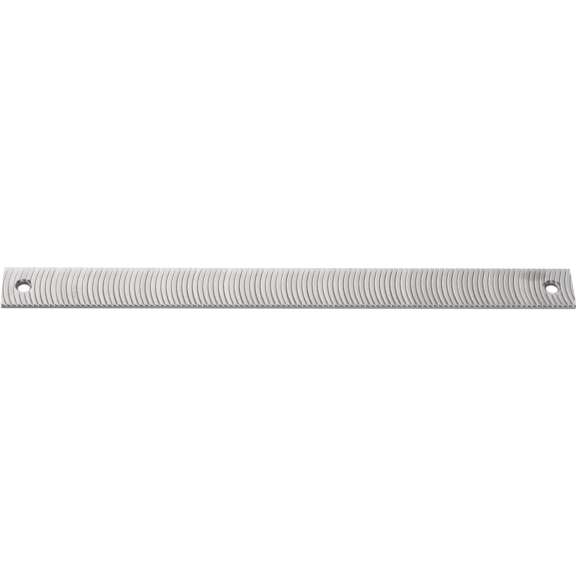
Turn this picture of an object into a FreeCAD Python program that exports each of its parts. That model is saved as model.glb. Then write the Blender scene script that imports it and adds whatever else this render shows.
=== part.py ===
import FreeCAD, Part
import Sketcher
import math
import os

V = FreeCAD.Vector

# Flat blade of a body file: one bar of hardened steel with curved milled
# teeth across its upper face, a plain underside, and a countersunk fixing
# hole near each end for the screws of a file holder.
# Frame: origin at the middle of the underside, +X along the blade (the
# cutting edges face -X), +Y across it, +Z up out of the toothed face.

doc = FreeCAD.newDocument("FileBlade")

# ---------------------------------------------------------------- dimensions
sheet = doc.addObject("Spreadsheet::Sheet", "Dimensions")
ROWS = [
    ("blade_length", 350.0, "overall length, mm"),
    ("blade_width", 32.0, "overall width, mm"),
    ("blade_thick", 3.2, "thickness over the tooth tips, mm"),
    ("corner_radius", 0.8, "rounding of the four upright corners"),
    ("under_chamfer", 0.3, "broken edge round the underside"),
    ("edge_round", 0.8, "rounding of the two long edges of the toothed face"),
    ("tooth_pitch", 3.19, "tooth spacing along the blade, about 8 to the inch"),
    ("tooth_count", 112, "gullets, including those that run out over the ends"),
    ("tooth_depth", 0.95, "gullet depth below the tips"),
    ("tooth_sweep", 41.5, "plan radius of each cutting edge"),
    ("gullet_width", 2.86, "gullet width at the tips, the rest is the tip land"),
    ("root_radius", 0.38, "radius at the bottom of the gullet"),
    ("rake_angle", 5.0, "cutting face leans over the gullet by this angle"),
    ("first_edge", -177.19, "X of the first cutting edge on the centreline"),
    ("sweep_angle", 56.0, "angle that each gullet's cut turns through"),
    ("cut_clear", 0.6, "height of the gullet cut above the tips"),
    ("hole_dia", 7.5, "fixing hole"),
    ("sink_dia", 10.6, "countersink across the top"),
    ("sink_angle", 90.0, "countersink angle"),
    ("hole_pitch", 324.0, "distance between the two fixing holes"),
]
sheet.set("A1", "alias")
sheet.set("B1", "value")
sheet.set("C1", "note")
for i, (alias, value, note) in enumerate(ROWS, start=2):
    sheet.set("A%d" % i, alias)
    sheet.set("B%d" % i, repr(value))
    sheet.set("C%d" % i, note)
    sheet.setAlias("B%d" % i, alias)
doc.recompute()
S = {alias: float(getattr(sheet, alias)) for alias, _, _ in ROWS}


def cell(alias):
    return "Dimensions." + alias


def plane_of(body, role):
    for feature in body.Origin.OriginFeatures:
        if feature.Role == role:
            return feature
    raise RuntimeError("no origin feature " + role)


def new_sketch(body, name, role):
    sk = body.newObject("Sketcher::SketchObject", name)
    sk.AttachmentSupport = [(plane_of(body, role), "")]
    sk.MapMode = "FlatFace"
    return sk


def dim(sk, name, args, expression):
    """Add a named dimension to a sketch and drive it from the sheet."""
    n = sk.addConstraint(Sketcher.Constraint(*args))
    sk.renameConstraint(n, name)
    sk.setExpression("Constraints." + name, expression)


# --------------------------------------------------------------- blade blank
body = doc.addObject("PartDesign::Body", "FileBlade")
body.Label = "file_blade"

hl, hw = S["blade_length"] / 2.0, S["blade_width"] / 2.0
outline = new_sketch(body, "Outline", "XY_Plane")
pts = [V(-hl, -hw, 0), V(hl, -hw, 0), V(hl, hw, 0), V(-hl, hw, 0)]
for k in range(4):
    outline.addGeometry(Part.LineSegment(pts[k], pts[(k + 1) % 4]), False)
for k in range(4):
    outline.addConstraint(Sketcher.Constraint("Coincident", k, 2, (k + 1) % 4, 1))
outline.addConstraint(Sketcher.Constraint("Horizontal", 0))
outline.addConstraint(Sketcher.Constraint("Horizontal", 2))
outline.addConstraint(Sketcher.Constraint("Vertical", 1))
outline.addConstraint(Sketcher.Constraint("Vertical", 3))
outline.addConstraint(Sketcher.Constraint("Symmetric", 0, 1, 1, 2, -1, 1))
dim(outline, "Length", ("DistanceX", 0, 1, 0, 2, S["blade_length"]), cell("blade_length"))
dim(outline, "Width", ("DistanceY", 1, 1, 1, 2, S["blade_width"]), cell("blade_width"))

blank = body.newObject("PartDesign::Pad", "Blank")
blank.Profile = outline
blank.setExpression("Length", cell("blade_thick"))
doc.recompute()


def edge_names(shape, test):
    return ["Edge%d" % (i + 1) for i, e in enumerate(shape.Edges) if test(e)]


# the four upright corners
corners = body.newObject("PartDesign::Fillet", "Corners")
corners.Base = (blank, edge_names(
    blank.Shape, lambda e: abs(e.tangentAt(e.FirstParameter).z) > 0.99))
corners.setExpression("Radius", cell("corner_radius"))
doc.recompute()

# the broken edge round the underside
under = body.newObject("PartDesign::Chamfer", "UnderEdge")
under.Base = (corners, edge_names(
    corners.Shape, lambda e: all(abs(v.Z) < 1e-6 for v in e.Vertexes)))
under.setExpression("Size", cell("under_chamfer"))
doc.recompute()

# the rounded long edges of the upper face, over which the gullets run out
rounds = body.newObject("PartDesign::Fillet", "LongEdges")
rounds.Base = (under, edge_names(under.Shape, lambda e: (
    all(abs(v.Z - S["blade_thick"]) < 1e-6 for v in e.Vertexes)
    and e.Length > 0.5 * S["blade_length"])))
rounds.setExpression("Radius", cell("edge_round"))
doc.recompute()

# --------------------------------------------------------------- fixing holes
hsk = new_sketch(body, "HoleCentres", "XY_Plane")
hsk.setExpression("AttachmentOffset.Base.z", cell("blade_thick"))
hp = S["hole_pitch"] / 2.0
for sx in (-1, 1):
    hsk.addGeometry(Part.Circle(V(sx * hp, 0, 0), V(0, 0, 1), S["hole_dia"] / 2.0), False)
hsk.addConstraint(Sketcher.Constraint("Symmetric", 0, 3, 1, 3, -1, 1))
hsk.addConstraint(Sketcher.Constraint("PointOnObject", 0, 3, -1))
dim(hsk, "HolePitch", ("DistanceX", 0, 3, 1, 3, S["hole_pitch"]), cell("hole_pitch"))
dim(hsk, "HoleDiaA", ("Diameter", 0, S["hole_dia"]), cell("hole_dia"))
dim(hsk, "HoleDiaB", ("Diameter", 1, S["hole_dia"]), cell("hole_dia"))
doc.recompute()
v_blank = rounds.Shape.Volume

holes = body.newObject("PartDesign::Hole", "FixingHoles")
holes.Profile = hsk
doc.recompute()
holes.ThreadType = "None"
holes.DepthType = "ThroughAll"
holes.HoleCutType = "Countersink"
holes.HoleCutCustomValues = True
holes.setExpression("Diameter", cell("hole_dia"))
holes.setExpression("HoleCutDiameter", cell("sink_dia"))
holes.setExpression("HoleCutCountersinkAngle", cell("sink_angle"))
holes.Refine = False
body.Tip = holes
doc.recompute()
v_drilled = holes.Shape.Volume

# -------------------------------------------------------------- curved teeth
# Section of one gullet in the upright plane along the blade. The cutting
# face stands at the +X side and leans over the gullet, a small radius forms
# the root, and the long back of the tooth before it rises to -X.
# 0 cutting face, 1 root arc, 2 tooth back, 3..5 closing lines above the tips,
# 6 construction line: the upright axis that the cutter swings round.
rake = math.radians(S["rake_angle"])
rr, depth, gw = S["root_radius"], S["tooth_depth"], S["gullet_width"]
top, clear, x0 = S["blade_thick"], S["cut_clear"], S["first_edge"]
rho_c = (rr - (depth - rr) * math.sin(rake)) / math.cos(rake)
oc = V(x0 - rho_c, top - depth + rr, 0)
edge_top = V(x0, top, 0)
heel = V(x0 - gw, top, 0)
# tangent point on the cutting face and on the back
ta = oc + V(math.cos(rake), -math.sin(rake), 0) * rr
dvec = heel - oc
dist = math.hypot(dvec.x, dvec.y)
base = math.atan2(dvec.y, dvec.x)
off = math.acos(rr / dist)
tb = oc + V(math.cos(base + off), math.sin(base + off), 0) * rr

gsk = new_sketch(body, "GulletSection", "XZ_Plane")
gsk.addGeometry(Part.LineSegment(edge_top, ta), False)
a0 = math.atan2(tb.y - oc.y, tb.x - oc.x) % (2 * math.pi)
a1 = math.atan2(ta.y - oc.y, ta.x - oc.x) % (2 * math.pi)
gsk.addGeometry(Part.ArcOfCircle(Part.Circle(oc, V(0, 0, 1), rr), a0, a1), False)
gsk.addGeometry(Part.LineSegment(tb, heel), False)
up_l = V(heel.x, top + clear, 0)
up_r = V(x0, top + clear, 0)
gsk.addGeometry(Part.LineSegment(heel, up_l), False)
gsk.addGeometry(Part.LineSegment(up_l, up_r), False)
gsk.addGeometry(Part.LineSegment(up_r, edge_top), False)
gsk.addGeometry(Part.LineSegment(V(x0 + S["tooth_sweep"], 0, 0),
                                 V(x0 + S["tooth_sweep"], 10, 0)), True)
C = Sketcher.Constraint
gsk.addConstraint(C("Tangent", 0, 2, 1, 2))
gsk.addConstraint(C("Tangent", 2, 1, 1, 1))
gsk.addConstraint(C("Coincident", 2, 2, 3, 1))
gsk.addConstraint(C("Coincident", 3, 2, 4, 1))
gsk.addConstraint(C("Coincident", 4, 2, 5, 1))
gsk.addConstraint(C("Coincident", 5, 2, 0, 1))
gsk.addConstraint(C("Vertical", 3))
gsk.addConstraint(C("Horizontal", 4))
gsk.addConstraint(C("Vertical", 5))
gsk.addConstraint(C("Vertical", 6))
gsk.addConstraint(C("PointOnObject", 6, 1, -1))
dim(gsk, "AxisHeight", ("DistanceY", 6, 1, 6, 2, 10.0), "10 mm")
dim(gsk, "EdgeHeight", ("DistanceY", -1, 1, 0, 1, top), cell("blade_thick"))
dim(gsk, "EdgeX", ("DistanceX", 0, 1, -1, 1, -x0), "-" + cell("first_edge"))
dim(gsk, "GulletWidth", ("DistanceX", 2, 2, 0, 1, gw), cell("gullet_width"))
dim(gsk, "HeelHeight", ("DistanceY", -1, 1, 2, 2, top), cell("blade_thick"))
dim(gsk, "CutClear", ("DistanceY", 5, 2, 5, 1, clear), cell("cut_clear"))
dim(gsk, "RootRadius", ("Radius", 1, rr), cell("root_radius"))
dim(gsk, "RootHeight", ("DistanceY", -1, 1, 1, 3, oc.y),
    cell("blade_thick") + " - " + cell("tooth_depth") + " + " + cell("root_radius"))
dim(gsk, "RootX", ("DistanceX", 1, 3, 0, 1, rho_c),
    "(%s - (%s - %s) * sin(%s * 1 deg)) / cos(%s * 1 deg)" % (
        cell("root_radius"), cell("tooth_depth"), cell("root_radius"),
        cell("rake_angle"), cell("rake_angle")))
dim(gsk, "Sweep", ("DistanceX", 0, 1, 6, 1, S["tooth_sweep"]), cell("tooth_sweep"))
doc.recompute()

gullet = body.newObject("PartDesign::Groove", "Gullet")
gullet.Profile = gsk
gullet.ReferenceAxis = (gsk, ["Axis0"])
gullet.Midplane = True
gullet.setExpression("Angle", cell("sweep_angle"))
gullet.Refine = False
doc.recompute()

teeth = body.newObject("PartDesign::LinearPattern", "Teeth")
teeth.Originals = [gullet]
teeth.Direction = (plane_of(body, "X_Axis"), [""])
teeth.Refine = False
teeth.setExpression("Length", cell("tooth_pitch") + " * (" + cell("tooth_count") + " - 1)")
teeth.setExpression("Occurrences", cell("tooth_count"))
body.Tip = teeth
doc.recompute()

# --------------------------------------------------------- checks and export
body.Placement = FreeCAD.Placement(V(0, 0, 0), FreeCAD.Rotation())
doc.recompute()
for obj in doc.Objects:
    if any(flag in ("Invalid", "Error") for flag in obj.State):
        raise RuntimeError("%s failed: %s" % (obj.Name, obj.State))
for name, skt in (("outline", outline), ("gullet", gsk), ("holes", hsk)):
    print("sketch", name, "free dims", skt.solve(), skt.FullyConstrained)

v_end = body.Shape.Volume
print("volume blank %.1f  drilled %.1f  toothed %.1f mm3" % (v_blank, v_drilled, v_end))
plain = 2 * math.pi * (S["hole_dia"] / 2.0) ** 2 * S["blade_thick"]
if not plain < v_blank - v_drilled < 1.6 * plain:
    raise RuntimeError("the holes did not cut as expected")
if not v_drilled * 0.6 < v_end < v_drilled * 0.95:
    raise RuntimeError("the gullets did not cut as expected")

os.makedirs("parts", exist_ok=True)
for sub in [body]:
    shape = sub.Shape
    if shape.isNull() or not shape.isValid() or len(shape.Solids) != 1:
        raise RuntimeError("bad shape: " + sub.Label)
    bb = shape.BoundBox
    print(sub.Label, "faces", len(shape.Faces), "box",
          [round(v, 3) for v in (bb.XMin, bb.YMin, bb.ZMin, bb.XMax, bb.YMax, bb.ZMax)])
    shape.exportStep("parts/%s.step" % sub.Label)
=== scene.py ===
import bpy, bmesh, math, random
import numpy as np
from mathutils import Vector, Matrix


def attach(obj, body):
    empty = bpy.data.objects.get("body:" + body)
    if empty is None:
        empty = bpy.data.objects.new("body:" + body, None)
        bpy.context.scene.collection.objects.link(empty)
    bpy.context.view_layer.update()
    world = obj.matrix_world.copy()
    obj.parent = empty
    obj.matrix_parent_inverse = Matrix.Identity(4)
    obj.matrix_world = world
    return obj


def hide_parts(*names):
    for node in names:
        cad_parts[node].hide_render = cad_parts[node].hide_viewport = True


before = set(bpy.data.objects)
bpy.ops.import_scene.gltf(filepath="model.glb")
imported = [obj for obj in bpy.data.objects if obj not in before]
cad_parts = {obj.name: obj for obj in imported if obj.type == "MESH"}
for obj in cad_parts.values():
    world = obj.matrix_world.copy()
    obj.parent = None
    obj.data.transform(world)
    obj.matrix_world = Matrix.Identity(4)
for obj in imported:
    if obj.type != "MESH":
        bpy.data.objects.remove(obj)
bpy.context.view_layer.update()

MM = 0.001
RNG = np.random.default_rng(7)

# ------------------------------------------------------------- blade numbers
L, W, T = 350.0, 32.0, 3.2            # mm
CORNER_R, UNDER_C = 0.8, 0.3
EDGE_R = 0.8
PITCH, COUNT, FIRST = 3.19, 112, -177.19
DEPTH, R, GULLET = 0.95, 41.5, 2.86
ROOT_R, RAKE = 0.38, math.radians(5.0)
HOLE_X, HOLE_D, SINK_D = 162.0, 7.5, 10.6


# --------------------------------------------------------------- tooth shape
def gullet_profile(depth, root_r, rake, width, heel_drop=0.0):
    """Closely spaced section of one gullet: rho grows outwards from the cutting edge, z is 0 at the tips.
    Runs from the cutting edge, down the cutting face, round the root and up the slightly hollow back."""
    rc = (root_r - (depth - root_r) * math.sin(rake)) / math.cos(rake)
    oc = np.array([rc, -depth + root_r])
    ta = oc + root_r * np.array([-math.cos(rake), -math.sin(rake)])
    heel = np.array([width, 0.0])
    d = heel - oc
    dist = math.hypot(*d)
    base = math.atan2(d[1], d[0])
    off = math.acos(root_r / dist)
    ang_b = base - off
    tb = oc + root_r * np.array([math.cos(ang_b), math.sin(ang_b)])
    pts = [np.array([0.0, 0.0])]
    for t in np.linspace(0, 1, 13)[1:]:
        pts.append(t * ta)
    a0 = math.atan2(ta[1] - oc[1], ta[0] - oc[0]) % (2 * math.pi)
    a1 = ang_b % (2 * math.pi)
    for a in np.linspace(a0, a1, 25)[1:]:
        pts.append(oc + root_r * np.array([math.cos(a), math.sin(a)]))
    n = heel - tb
    nn = np.array([n[1], -n[0]]) / math.hypot(*n)
    for t in np.linspace(0, 1, 49)[1:]:
        # a shallow hollow in the back, as a form cutter leaves
        pts.append(tb + n * t + nn * (0.03 * math.sin(math.pi * t)))
    return np.array(pts)


def clip_profile(poly, drop, k):
    """The part of the section below z = -drop, from cutting edge to heel; k is not used."""
    z = poly[:, 1]
    lim = -drop
    inside = np.where(z < lim - 1e-9)[0]
    if len(inside) < 2:
        # the rounded edge already lies below the root here: the gullet has run out
        i = int(np.argmin(z))
        return np.array([[poly[i, 0] - 0.06, lim], [poly[i, 0], lim], [poly[i, 0] + 0.06, lim]])
    i0, i1 = inside[0], inside[-1]

    def cross(a, b):
        t = (lim - a[1]) / (b[1] - a[1])
        return a + (b - a) * t
    start = cross(poly[i0 - 1], poly[i0]) if i0 > 0 else poly[i0]
    end = cross(poly[i1], poly[i1 + 1]) if i1 + 1 < len(poly) else poly[i1]
    part = np.vstack([start, poly[i0:i1 + 1], end])
    return part


def resample(part, weights):
    """Points at given fractions of a section, measured by length plus a share for turning, so curves keep detail."""
    d = np.diff(part, axis=0)
    seg = np.hypot(d[:, 0], d[:, 1]) + 1e-9
    ang = np.arctan2(d[:, 1], d[:, 0])
    turn = np.abs(np.diff(np.unwrap(ang)))
    extra = np.zeros(len(seg))
    extra[:-1] += turn * 0.25
    extra[1:] += turn * 0.25
    s = np.concatenate([[0], np.cumsum(seg + extra)])
    s /= s[-1]
    return np.column_stack([np.interp(weights, s, part[:, 0]), np.interp(weights, s, part[:, 1])])


def edge_drop(y):
    """How far the blank's rounded long edge lies below the tips at y."""
    d = W / 2 - np.abs(y)
    d = np.clip(d, 0.0, None)
    return np.where(d < EDGE_R, EDGE_R - np.sqrt(np.clip(EDGE_R ** 2 - (EDGE_R - d) ** 2, 0, None)), 0.0)


# columns across the blade: even in the middle, close together over the rounded long edges
inner = W / 2 - EDGE_R
fine = [EDGE_R * (1 - math.cos(a)) for a in np.linspace(0, math.pi / 2, 7)]   # distance in from the edge
side = sorted({W / 2 - f for f in fine} | {W / 2 + 0.4})
mid = list(np.linspace(-inner, inner, 27))
COLS = np.array(sorted(set(np.round([-s for s in side] + mid + side, 6))))
NP = 15          # points down and up each gullet
TIP_FALL = 0.05  # the narrow land behind each cutting edge falls this far to its heel


def build_top():
    """Rows of points, one row per station along the blade, one column per COLS entry, in mm, from +X to -X."""
    weights = np.linspace(0, 1, NP)
    rows = []
    drops = edge_drop(COLS)
    jit = {"pitch": RNG.normal(0, 0.012, COUNT), "depth": RNG.normal(0, 0.03, COUNT),
           "root": RNG.normal(0, 0.03, COUNT), "width": RNG.normal(0, 0.025, COUNT)}
    jit["pitch"][0] += 0.02
    for n in range(COUNT - 1, -1, -1):
        depth = min(DEPTH, DEPTH - 0.02 + jit["depth"][n])
        root = max(0.30, ROOT_R + jit["root"][n])
        width = min(GULLET + 0.05, GULLET + jit["width"][n])
        poly = gullet_profile(depth, root, RAKE, width)
        xt = FIRST + PITCH * n + jit["pitch"][n]
        grid = np.zeros((NP, len(COLS), 3))
        for j, y in enumerate(COLS):
            ye = float(np.clip(y, -W / 2, W / 2))
            part = clip_profile(poly, drops[j], NP)
            pr = resample(part, weights)
            pr[-1, 1] -= TIP_FALL * (1.0 if drops[j] < 1e-6 else 0.0)
            rad = R + pr[:, 0]
            x = xt + R - np.sqrt(rad ** 2 - ye ** 2)
            grid[:, j, 0] = x
            grid[:, j, 1] = y
            grid[:, j, 2] = T + pr[:, 1]
        rows.append(grid)
    return rows, drops


def make_blade():
    rows, drops = build_top()
    nc = len(COLS)
    verts = []
    # +X cap row, flat top out past the end
    ends = 184.0
    first = np.column_stack([np.full(nc, ends), COLS, T - drops])
    verts.append(first)
    for g in rows:
        verts.extend(g)
    last = np.column_stack([np.full(nc, -ends), COLS, T - drops])
    verts.append(last)
    top = np.array(verts)                      # (stations, columns, 3)
    ns = top.shape[0]
    pts = top.reshape(-1, 3)
    faces = []
    for i in range(ns - 1):
        a = i * nc
        b = (i + 1) * nc
        for j in range(nc - 1):
            faces.append((a + j, a + j + 1, b + j + 1, b + j))
    base = len(pts)
    # underside: one row of points below each long side, so that the walls are clean strips
    low = -1.0
    lo_front = np.column_stack([top[:, 0, 0], top[:, 0, 1], np.full(ns, low)])
    lo_back = np.column_stack([top[:, -1, 0], top[:, -1, 1], np.full(ns, low)])
    pts = np.vstack([pts, lo_front, lo_back])
    f0, b0 = base, base + ns
    for i in range(ns - 1):
        faces.append((i * nc, (i + 1) * nc, f0 + i + 1, f0 + i))
        faces.append((i * nc + nc - 1, b0 + i, b0 + i + 1, (i + 1) * nc + nc - 1))
        faces.append((f0 + i, f0 + i + 1, b0 + i + 1, b0 + i))
    faces.append(tuple(range(0, nc)) [::-1] + (f0, b0))
    e = (ns - 1) * nc
    faces.append(tuple(range(e, e + nc)) + (b0 + ns - 1, f0 + ns - 1))
    me = bpy.data.meshes.new("file_blade_body")
    me.from_pydata((pts * MM).tolist(), [], faces)
    me.update()
    ob = bpy.data.objects.new("file_blade_body", me)
    bpy.context.scene.collection.objects.link(ob)
    bm = bmesh.new()
    bm.from_mesh(me)
    bmesh.ops.recalc_face_normals(bm, faces=bm.faces)
    bm.to_mesh(me)
    bm.free()
    return ob


def ring_mesh(name, rings, cap=True):
    """Closed solid lofted through rings of equal length."""
    n = len(rings[0])
    pts = [p for r in rings for p in r]
    faces = []
    for i in range(len(rings) - 1):
        for j in range(n):
            k = (j + 1) % n
            faces.append((i * n + j, i * n + k, (i + 1) * n + k, (i + 1) * n + j))
    faces.append(tuple(range(n))[::-1])
    faces.append(tuple(range((len(rings) - 1) * n, len(rings) * n)))
    me = bpy.data.meshes.new(name)
    me.from_pydata([tuple(c * MM for c in p) for p in pts], [], faces)
    me.update()
    ob = bpy.data.objects.new(name, me)
    bpy.context.scene.collection.objects.link(ob)
    bm = bmesh.new()
    bm.from_mesh(me)
    bmesh.ops.recalc_face_normals(bm, faces=bm.faces)
    bm.to_mesh(me)
    bm.free()
    return ob


def outline_ring(inset, z, seg=8):
    hl, hw, r = L / 2 - inset, W / 2 - inset, CORNER_R
    pts = []
    for cx, cy, a in ((hl - r, hw - r, 0), (-hl + r, hw - r, 90), (-hl + r, -hw + r, 180), (hl - r, -hw + r, 270)):
        for t in np.linspace(0, 90, seg + 1):
            b = math.radians(a + t)
            pts.append((cx + r * math.cos(b), cy + r * math.sin(b), z))
    return pts


def circle_ring(cx, r, z, seg=72):
    return [(cx + r * math.cos(2 * math.pi * i / seg), r * math.sin(2 * math.pi * i / seg), z) for i in range(seg)]


def boolean(ob, cutter, op):
    m = ob.modifiers.new("b", "BOOLEAN")
    m.object = cutter
    m.operation = op
    m.solver = "EXACT"
    bpy.context.view_layer.update()
    dg = bpy.context.evaluated_depsgraph_get()
    me = bpy.data.meshes.new_from_object(ob.evaluated_get(dg))
    ob.modifiers.clear()
    old = ob.data
    ob.data = me
    bpy.data.meshes.remove(old)
    bpy.data.objects.remove(cutter)


blade = make_blade()
boolean(blade, ring_mesh("cut_outline", [
    outline_ring(UNDER_C, 0.0), outline_ring(UNDER_C * 0.35, 0.08), outline_ring(0.0, UNDER_C), outline_ring(0.0, 6.0)]), "INTERSECT")
for sx in (-1, 1):
    c = sx * HOLE_X
    r0, r1 = HOLE_D / 2, SINK_D / 2
    zs = T - (r1 - r0)
    boolean(blade, ring_mesh("cut_hole", [
        circle_ring(c, r0 + 0.22, -0.5), circle_ring(c, r0 + 0.22, 0.0), circle_ring(c, r0, 0.22),
        circle_ring(c, r0, zs), circle_ring(c, r1, T), circle_ring(c, r1 + 1.0, T + 1.0)]), "DIFFERENCE")

# clean up and mark the sharp edges
bm = bmesh.new()
bm.from_mesh(blade.data)
bmesh.ops.remove_doubles(bm, verts=bm.verts, dist=2e-8)
for f in bm.faces:
    f.smooth = True
for e in bm.edges:
    if len(e.link_faces) == 2:
        e.smooth = e.calc_face_angle(0) < math.radians(32)
bm.to_mesh(blade.data)
print("blade faces", len(bm.faces), "tris", sum(len(f.verts) - 2 for f in bm.faces),
      "open edges", sum(1 for e in bm.edges if len(e.link_faces) != 2))
bm.free()


# ------------------------------------------------------------------ material
def node(nt, kind, loc=(0, 0), **props):
    n = nt.nodes.new(kind)
    n.location = loc
    for k, v in props.items():
        setattr(n, k, v)
    return n


def math_node(nt, op, a=None, b=None, c=None, clamp=False):
    n = nt.nodes.new("ShaderNodeMath")
    n.operation = op
    n.use_clamp = clamp
    for i, v in enumerate((a, b, c)):
        if v is None:
            continue
        if isinstance(v, (int, float)):
            n.inputs[i].default_value = v
        else:
            nt.links.new(v, n.inputs[i])
    return n.outputs[0]


def ramp(nt, fac, stops):
    n = nt.nodes.new("ShaderNodeMapRange")
    n.clamp = True
    n.interpolation_type = "SMOOTHSTEP"
    n.inputs["From Min"].default_value, n.inputs["From Max"].default_value = stops[0]
    n.inputs["To Min"].default_value, n.inputs["To Max"].default_value = stops[1]
    nt.links.new(fac, n.inputs["Value"])
    return n.outputs["Result"]


def steel():
    m = bpy.data.materials.new("blade_steel")
    m.use_nodes = True
    nt = m.node_tree
    nt.nodes.clear()
    out = node(nt, "ShaderNodeOutputMaterial")
    bs = node(nt, "ShaderNodeBsdfPrincipled")
    nt.links.new(bs.outputs[0], out.inputs[0])
    bs.inputs["Metallic"].default_value = 1.0
    tc = node(nt, "ShaderNodeTexCoord")
    sep = node(nt, "ShaderNodeSeparateXYZ")
    nt.links.new(tc.outputs["Object"], sep.inputs[0])
    x, y, z = (math_node(nt, "MULTIPLY", sep.outputs[i], 1000.0) for i in range(3))   # mm
    # place along the blade measured on the tooth arcs: equal on each arc
    arc = math_node(nt, "SQRT", math_node(nt, "SUBTRACT", 43.0 ** 2, math_node(nt, "MULTIPLY", y, y)))
    u = math_node(nt, "ADD", x, arc)
    # which tooth this is, and how far across it: 0 and 1 at the cutting edges
    arc_r = math_node(nt, "SQRT", math_node(nt, "SUBTRACT", R * R, math_node(nt, "MULTIPLY", y, y)))
    pos = math_node(nt, "DIVIDE", math_node(nt, "SUBTRACT", math_node(nt, "ADD", x, arc_r), R + FIRST), PITCH)
    across = math_node(nt, "FRACT", pos)
    wn_ = node(nt, "ShaderNodeTexWhiteNoise", noise_dimensions="1D")
    nt.links.new(math_node(nt, "FLOOR", pos), wn_.inputs["W"])
    per_tooth = wn_.outputs["Value"]
    # fine feed marks along the arcs
    comb = node(nt, "ShaderNodeCombineXYZ")
    nt.links.new(math_node(nt, "MULTIPLY", u, 3.2), comb.inputs[0])
    nt.links.new(math_node(nt, "MULTIPLY", y, 0.045), comb.inputs[1])
    nt.links.new(math_node(nt, "MULTIPLY", z, 2.5), comb.inputs[2])
    feed = node(nt, "ShaderNodeTexNoise")
    feed.inputs["Scale"].default_value = 1.6
    feed.inputs["Detail"].default_value = 3.0
    feed.inputs["Roughness"].default_value = 0.6
    nt.links.new(comb.outputs[0], feed.inputs["Vector"])
    # broad cloudiness of the bare steel
    comb2 = node(nt, "ShaderNodeCombineXYZ")
    nt.links.new(x, comb2.inputs[0]); nt.links.new(y, comb2.inputs[1]); nt.links.new(z, comb2.inputs[2])
    cloud = node(nt, "ShaderNodeTexNoise")
    cloud.inputs["Scale"].default_value = 0.06
    cloud.inputs["Detail"].default_value = 5.0
    cloud.inputs["Roughness"].default_value = 0.62
    nt.links.new(comb2.outputs[0], cloud.inputs["Vector"])
    fine_n = node(nt, "ShaderNodeTexNoise")
    fine_n.inputs["Scale"].default_value = 1.7
    fine_n.inputs["Detail"].default_value = 4.0
    nt.links.new(comb2.outputs[0], fine_n.inputs["Vector"])
    # lengthwise grinding on the underside and the long sides
    comb3 = node(nt, "ShaderNodeCombineXYZ")
    nt.links.new(math_node(nt, "MULTIPLY", x, 0.02), comb3.inputs[0])
    nt.links.new(math_node(nt, "MULTIPLY", y, 3.0), comb3.inputs[1])
    nt.links.new(math_node(nt, "MULTIPLY", z, 3.0), comb3.inputs[2])
    grind = node(nt, "ShaderNodeTexNoise")
    grind.inputs["Scale"].default_value = 2.0
    grind.inputs["Detail"].default_value = 4.0
    nt.links.new(comb3.outputs[0], grind.inputs["Vector"])
    # where the milled face is: above the plain steel and away from the long sides
    milled = math_node(nt, "MULTIPLY", ramp(nt, z, ((T - DEPTH - 0.15, T - DEPTH - 0.05), (0.0, 1.0))),
                       ramp(nt, math_node(nt, "ABSOLUTE", y), ((15.6, 15.95), (1.0, 0.0))))
    # plain surfaces: the long sides, the ends and the underside are darker: unmilled steel, with painted shade added
    ay = math_node(nt, "ABSOLUTE", y)
    ax = math_node(nt, "ABSOLUTE", x)
    plain = math_node(nt, "MAXIMUM", ramp(nt, ay, ((15.86, 15.99), (0.0, 1.0))), ramp(nt, ax, ((174.93, 174.99), (0.0, 1.0))))
    plain = math_node(nt, "MAXIMUM", plain, ramp(nt, z, ((0.4, 0.25), (0.0, 1.0))))
    fy = math_node(nt, "SUBTRACT", math_node(nt, "MULTIPLY", y, -1.0), W / 2 - EDGE_R)
    fz = math_node(nt, "SUBTRACT", z, T - EDGE_R)
    fq = math_node(nt, "SQRT", math_node(nt, "ADD", math_node(nt, "MULTIPLY", fy, fy), math_node(nt, "MULTIPLY", fz, fz)))
    fillet = math_node(nt, "MULTIPLY", ramp(nt, fq, ((EDGE_R - 0.07, EDGE_R - 0.03), (0.0, 1.0))), ramp(nt, fy, ((0.0, 0.16), (0.0, 1.0))))
    plain = math_node(nt, "MAXIMUM", plain, fillet)
    fillet = math_node(nt, "MULTIPLY", fillet, ramp(nt, z, ((T - 1.10, T - 0.80), (0.0, 1.0))))
    # the painted shade runs on a little way over the back of each tooth, in a wedge that narrows towards the root
    wedge = math_node(nt, "SUBTRACT", math_node(nt, "SUBTRACT", fy, -0.05), math_node(nt, "MULTIPLY", across, 0.62))
    wedge = math_node(nt, "MULTIPLY", ramp(nt, wedge, ((0.0, 0.12), (0.0, 1.0))), ramp(nt, across, ((0.76, 0.68), (0.0, 1.0))))
    fillet = math_node(nt, "MAXIMUM", fillet, math_node(nt, "MULTIPLY", wedge, ramp(nt, z, ((T - 1.0, T - 0.9), (0.0, 1.0)))))
    # distance from the nearer hole's axis
    hx = math_node(nt, "SUBTRACT", ax, HOLE_X)
    hr = math_node(nt, "SQRT", math_node(nt, "ADD", math_node(nt, "MULTIPLY", hx, hx), math_node(nt, "MULTIPLY", y, y)))
    bore = ramp(nt, hr, ((HOLE_D / 2 + 0.03, HOLE_D / 2 + 0.12), (1.0, 0.0)))
    wall = math_node(nt, "SUBTRACT", math_node(nt, "SUBTRACT", hr, SINK_D / 2), math_node(nt, "SUBTRACT", z, T))
    cone = ramp(nt, math_node(nt, "ABSOLUTE", wall), ((0.03, 0.07), (1.0, 0.0)))
    cone = math_node(nt, "MULTIPLY", cone, ramp(nt, hr, ((SINK_D / 2 + 0.02, SINK_D / 2 + 0.08), (1.0, 0.0))))
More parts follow.
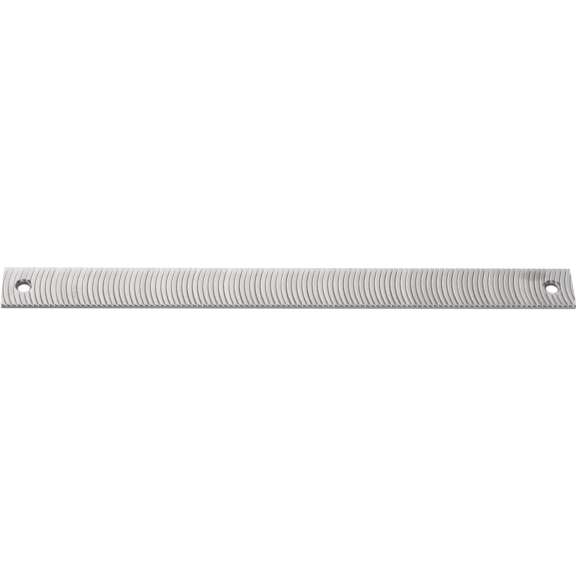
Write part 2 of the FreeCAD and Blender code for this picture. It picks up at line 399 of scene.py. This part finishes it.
    # depth below the tips, 0 at the tip, 1 in the root
    # the painted shade reaches higher up the gullets where they run out through the back long side, and behind the
    # holes
    out_b = ramp(nt, y, ((15.0, 15.9), (0.0, 0.10)))
    hsx = math_node(nt, "DIVIDE", math_node(nt, "SUBTRACT", x, math_node(nt, "MULTIPLY", math_node(nt, "SIGN", x), HOLE_X)), hr)
    behind = ramp(nt, math_node(nt, "DIVIDE", y, hr), ((0.0, 0.6), (0.0, 1.0)))
    before = ramp(nt, math_node(nt, "DIVIDE", y, hr), ((-0.2, -0.7), (0.0, 1.0)))
    out_h = math_node(nt, "MULTIPLY", ramp(nt, hr, ((SINK_D / 2 + 1.2, SINK_D / 2 + 0.1), (0.0, 0.62))), behind)
    zz = math_node(nt, "SUBTRACT", math_node(nt, "SUBTRACT", z, out_b), out_h)
    deep = ramp(nt, zz, ((T - DEPTH + 0.22, T - DEPTH + 0.06), (0.0, 1.0)))
    # the half of each tooth space next to the cutting face
    rooty = ramp(nt, across, ((0.46, 0.60), (0.0, 1.0)))
    near = ramp(nt, hr, ((SINK_D / 2 + 1.1, SINK_D / 2 + 0.3), (0.0, 1.0)))
    deep = math_node(nt, "MAXIMUM", deep, math_node(nt, "MULTIPLY", rooty, math_node(nt, "MULTIPLY", near, behind)))
    # the cutting faces, the surfaces that face -X, are darkened too: painted shade for the shadow they lie in, together
    # with some dark hardening scale
    nsep = node(nt, "ShaderNodeSeparateXYZ")
    nt.links.new(tc.outputs["Normal"], nsep.inputs[0])
    face = ramp(nt, math_node(nt, "MULTIPLY", nsep.outputs[0], -1.0), ((0.30, 0.60), (0.0, 1.0)))
    off = math_node(nt, "SUBTRACT", 1.0, math_node(nt, "MAXIMUM", plain, cone))
    gullet_shade_and_scale = math_node(nt, "MULTIPLY", math_node(nt, "MAXIMUM", deep, math_node(nt, "MULTIPLY", face, 0.4)), off)
    tip = ramp(nt, z, ((T - 0.14, T - 0.02), (0.0, 1.0)))
    # everything that belongs to the toothed face stays off the underside
    upper = ramp(nt, z, ((0.9, 1.6), (0.0, 1.0)))
    # colour
    lum = math_node(nt, "ADD", 0.66, math_node(nt, "MULTIPLY", math_node(nt, "SUBTRACT", cloud.outputs[0], 0.5), 0.16))
    lum = math_node(nt, "ADD", lum, math_node(nt, "MULTIPLY", math_node(nt, "MULTIPLY", math_node(nt, "SUBTRACT", feed.outputs[0], 0.5), 0.14), upper))
    lum = math_node(nt, "ADD", lum, math_node(nt, "MULTIPLY", math_node(nt, "MULTIPLY", math_node(nt, "SUBTRACT", per_tooth, 0.5), 0.05), upper))
    # the gullet darkening, painted shade in the roots and on the cutting faces with some dark scale, is uneven: weaker
    # towards the back edge and at the left end, weaker again where the gullets open through the front edge and light
    # reaches in, stronger behind the holes and weaker in front of them, and uneven between teeth
    gullet_dark_strength = math_node(nt, "MULTIPLY", ramp(nt, y, ((12.2, 15.9), (1.0, 0.30))), ramp(nt, x, ((-172.0, -140.0), (0.72, 1.0))))
    gullet_dark_strength = math_node(nt, "MULTIPLY", gullet_dark_strength, ramp(nt, y, ((3.0, 11.0), (1.0, 1.20))))
    gullet_dark_strength = math_node(nt, "MULTIPLY", gullet_dark_strength, ramp(nt, y, ((-13.5, -14.8), (1.0, 0.25))))
    gullet_dark_strength = math_node(nt, "MAXIMUM", gullet_dark_strength, math_node(nt, "MULTIPLY", math_node(nt, "MULTIPLY", near, behind), 1.30))
    gullet_dark_strength = math_node(nt, "MULTIPLY", gullet_dark_strength, math_node(nt, "SUBTRACT", 1.0, math_node(nt, "MULTIPLY", math_node(nt, "MULTIPLY", before, 0.75),
                     ramp(nt, hr, ((SINK_D / 2 + 1.6, SINK_D / 2), (0.0, 1.0))))))
    gullet_dark_strength = math_node(nt, "MULTIPLY", gullet_dark_strength, math_node(nt, "ADD", 0.72, math_node(nt, "MULTIPLY", cloud.outputs[0], 0.56)))
    gullet_dark_strength = math_node(nt, "MULTIPLY", gullet_dark_strength, math_node(nt, "ADD", 0.90, math_node(nt, "MULTIPLY", per_tooth, 0.20)))
    # painted shade, with some dark scale, darkens the gullet roots and the cutting faces
    lum = math_node(nt, "MULTIPLY", lum, math_node(nt, "SUBTRACT", 1.0, math_node(nt, "MULTIPLY", gullet_shade_and_scale, math_node(nt, "MULTIPLY", gullet_dark_strength, 0.66))))
    # the tips are a little lighter: worn bright lands, with a painted highlight along each cutting edge
    lum = math_node(nt, "ADD", lum, math_node(nt, "MULTIPLY", tip, 0.06))
    # painted highlight: lighter along the back edge, fading out towards the right end
    lum = math_node(nt, "ADD", lum, math_node(nt, "MULTIPLY", ramp(nt, y, ((8.0, 15.8), (0.0, 0.09))), ramp(nt, x, ((0.0, 120.0), (1.0, 0.0)))))
    # painted highlight: the gullets end bright where they run out through the front edge and light reaches into their
    # roots
    lum = math_node(nt, "ADD", lum, math_node(nt, "MULTIPLY", ramp(nt, y, ((-15.2, -15.6), (0.0, 0.70))), math_node(nt, "MULTIPLY", off, ramp(nt, across, ((0.62, 0.72), (0.0, 1.0))))))
    # and the left end and the back of the right end are slightly greyer; at the right end this is painted shade, for
    # the light falling off towards that end
    lum = math_node(nt, "MULTIPLY", lum, ramp(nt, x, ((-150.0, -60.0), (0.945, 1.0))))
    lum = math_node(nt, "MULTIPLY", lum, math_node(nt, "SUBTRACT", 1.0, math_node(nt, "MULTIPLY", ramp(nt, x, ((60.0, 140.0), (0.0, 0.055))), ramp(nt, y, ((-10.0, 8.0), (0.0, 1.0))))))
    def blot(cx, cy, rx, ry, soft):
        dx = math_node(nt, "DIVIDE", math_node(nt, "SUBTRACT", x, cx), rx)
        dy = math_node(nt, "DIVIDE", math_node(nt, "SUBTRACT", y, cy), ry)
        d2 = math_node(nt, "ADD", math_node(nt, "MULTIPLY", dx, dx), math_node(nt, "MULTIPLY", dy, dy))
        d2 = math_node(nt, "ADD", d2, math_node(nt, "MULTIPLY", math_node(nt, "SUBTRACT", fine_n.outputs[0], 0.5), 0.9))
        return ramp(nt, d2, ((1.0 + soft, max(0.0, 1.0 - soft)), (0.0, 1.0)))
    dull = blot(151.0, 9.5, 8.5, 4.2, 0.6)
    marks = math_node(nt, "MULTIPLY", math_node(nt, "MAXIMUM", blot(-170.0, -4.5, 1.6, 6.0, 0.6), blot(-131.0, -5.0, 1.2, 7.0, 0.6)),
                      ramp(nt, fine_n.outputs[0], ((0.45, 0.62), (0.0, 1.0))))
    lum = math_node(nt, "MULTIPLY", lum, math_node(nt, "SUBTRACT", 1.0, math_node(nt, "MULTIPLY", math_node(nt, "MULTIPLY", dull, 0.22), upper)))
    lum = math_node(nt, "MULTIPLY", lum, math_node(nt, "SUBTRACT", 1.0, math_node(nt, "MULTIPLY", math_node(nt, "MULTIPLY", marks, 0.30), upper)))
    # a second, fainter cutter line along the backs of the teeth in the right half
    second = math_node(nt, "MULTIPLY", ramp(nt, math_node(nt, "ABSOLUTE", math_node(nt, "SUBTRACT", across, 0.42)), ((0.10, 0.02), (0.0, 1.0))),
                       ramp(nt, x, ((20.0, 120.0), (0.0, 1.0))))
    lum = math_node(nt, "MULTIPLY", lum, math_node(nt, "SUBTRACT", 1.0, math_node(nt, "MULTIPLY", math_node(nt, "MULTIPLY", second, 0.13), upper)))
    # painted shade on top of the darker unmilled steel of the plain surfaces, a little stronger at the left end
    lum = math_node(nt, "MULTIPLY", lum, math_node(nt, "SUBTRACT", 1.0, math_node(nt, "MULTIPLY", plain, ramp(nt, x, ((-170.0, -60.0), (0.66, 0.58))))))
    # painted shade on the rounded front edge and in the wedges behind it
    lum = math_node(nt, "MULTIPLY", lum, math_node(nt, "SUBTRACT", 1.0, math_node(nt, "MULTIPLY", fillet, 0.70)))
    lum = math_node(nt, "MULTIPLY", lum, math_node(nt, "SUBTRACT", 1.0, math_node(nt, "MULTIPLY", bore, 0.45)))
    # painted shade on the countersink walls: dark low down, at the gullets and on the side facing +X, light on the side
    # facing -X; the lighter upper part reaches deeper in the right-hand hole
    low = ramp(nt, math_node(nt, "ADD", z, ramp(nt, x, ((-1.0, 1.0), (0.0, 0.28)))), ((T - 0.80, T - 1.05), (0.12, 1.0)))
    low = math_node(nt, "MAXIMUM", low, rooty)
    low = math_node(nt, "MAXIMUM", low, ramp(nt, hsx, ((-0.45, -0.75), (0.0, 1.0))))
    low = math_node(nt, "MULTIPLY", low, ramp(nt, hsx, ((0.35, 0.75), (1.0, 0.15))))
    lum = math_node(nt, "MULTIPLY", lum, math_node(nt, "SUBTRACT", 1.0, math_node(nt, "MULTIPLY", math_node(nt, "MULTIPLY", cone, low), 0.72)))
    lum = math_node(nt, "MINIMUM", lum, 0.97)
    mixc = node(nt, "ShaderNodeCombineColor")
    nt.links.new(lum, mixc.inputs[0])
    nt.links.new(math_node(nt, "MULTIPLY", lum, 0.968), mixc.inputs[1])
    nt.links.new(math_node(nt, "MULTIPLY", lum, 0.960), mixc.inputs[2])
    nt.links.new(mixc.outputs[0], bs.inputs["Base Color"])
    # roughness
    rough = math_node(nt, "ADD", 0.32, math_node(nt, "MULTIPLY", math_node(nt, "SUBTRACT", fine_n.outputs[0], 0.5), 0.16))
    rough = math_node(nt, "ADD", rough, math_node(nt, "MULTIPLY", gullet_shade_and_scale, 0.15))
    rough = math_node(nt, "SUBTRACT", rough, math_node(nt, "MULTIPLY", tip, 0.10), clamp=True)
    nt.links.new(rough, bs.inputs["Roughness"])
    # bump
    h = math_node(nt, "ADD", math_node(nt, "MULTIPLY", feed.outputs[0], milled),
                  math_node(nt, "MULTIPLY", grind.outputs[0], math_node(nt, "SUBTRACT", 1.0, milled)))
    h = math_node(nt, "ADD", h, math_node(nt, "MULTIPLY", fine_n.outputs[0], 0.25))
    bump = node(nt, "ShaderNodeBump")
    bump.inputs["Strength"].default_value = 0.35
    bump.inputs["Distance"].default_value = 0.00006
    nt.links.new(h, bump.inputs["Height"])
    nt.links.new(bump.outputs[0], bs.inputs["Normal"])
    return m


blade.data.materials.clear()
blade.data.materials.append(steel())
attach(blade, "root")
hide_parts("file_blade")

# --------------------------------------------------------------------- stage
def area(name, loc, target, size, power, color=(1, 1, 1)):
    d = bpy.data.lights.new(name, "AREA")
    d.shape = "RECTANGLE"
    d.size, d.size_y = size
    d.energy = power
    d.color = color
    o = bpy.data.objects.new(name, d)
    bpy.context.scene.collection.objects.link(o)
    o.location = loc
    o.rotation_euler = (Vector(target) - Vector(loc)).to_track_quat("-Z", "Y").to_euler()
    return o


bpy.ops.mesh.primitive_plane_add(size=60, location=(0, 0, -0.00002))
floor = bpy.context.object
floor.name = "floor"
fm = bpy.data.materials.new("floor")
fm.use_nodes = True
fb = fm.node_tree.nodes["Principled BSDF"]
fb.inputs["Base Color"].default_value = (0.55, 0.55, 0.55, 1)
fb.inputs["Roughness"].default_value = 0.9
fb.inputs["Specular IOR Level"].default_value = 0.0
fb.inputs["Emission Color"].default_value = (1, 1, 1, 1)
fb.inputs["Emission Strength"].default_value = 0.62
floor.data.materials.append(fm)

# a pale room, brighter towards the horizon than overhead
world = bpy.data.worlds.new("studio")
bpy.context.scene.world = world
world.use_nodes = True
wn = world.node_tree
bg = wn.nodes["Background"]
wtc = node(wn, "ShaderNodeTexCoord")
wsep = node(wn, "ShaderNodeSeparateXYZ")
wn.links.new(wtc.outputs["Generated"], wsep.inputs[0])
# broad glow from high behind the left end, as a large softbox there gives
glow = math_node(wn, "ADD", math_node(wn, "MULTIPLY", wsep.outputs[0], -0.25),
                 math_node(wn, "ADD", math_node(wn, "MULTIPLY", wsep.outputs[1], 0.70), math_node(wn, "MULTIPLY", wsep.outputs[2], 0.67)))
level = ramp(wn, glow, ((0.57, 0.72), (0.64, 1.22)))
bg.inputs["Color"].default_value = (1, 1, 1, 1)
wn.links.new(level, bg.inputs["Strength"])

area("top_box", (0.0, -0.48, 1.30), (0, 0, 0), (1.4, 0.30), 4)
area("front_strip", (0.0, -1.6, 0.28), (0, 0, 0), (2.4, 0.4), 5)

# -------------------------------------------------------------------- camera
AZ, EL, ROLL = math.radians(-3.83), math.radians(46.94), math.radians(2.92)
DIST, FPX = 1187.0, 1935.0
TGT = (-0.9, 1.0)
back = Vector((math.sin(AZ) * math.cos(EL), -math.cos(AZ) * math.cos(EL), math.sin(EL)))
fwd = -back
right0 = fwd.cross(Vector((0, 0, 1))).normalized()
up0 = right0.cross(fwd)
right = right0 * math.cos(ROLL) + up0 * math.sin(ROLL)
up = -right0 * math.sin(ROLL) + up0 * math.cos(ROLL)
pos = (right * TGT[0] + up * TGT[1] + back * DIST) * MM
cam_d = bpy.data.cameras.new("camera")
cam_d.sensor_fit = "HORIZONTAL"
cam_d.sensor_width = 36.0
cam_d.lens = FPX / 576.0 * 36.0
cam_d.clip_start, cam_d.clip_end = 0.01, 100.0
cam = bpy.data.objects.new("camera", cam_d)
bpy.context.scene.collection.objects.link(cam)
rot = Matrix((right, up, back)).transposed().to_4x4()
cam.matrix_world = Matrix.Translation(pos) @ rot
bpy.context.scene.camera = cam
bpy.context.scene.view_settings.view_transform = "Standard"
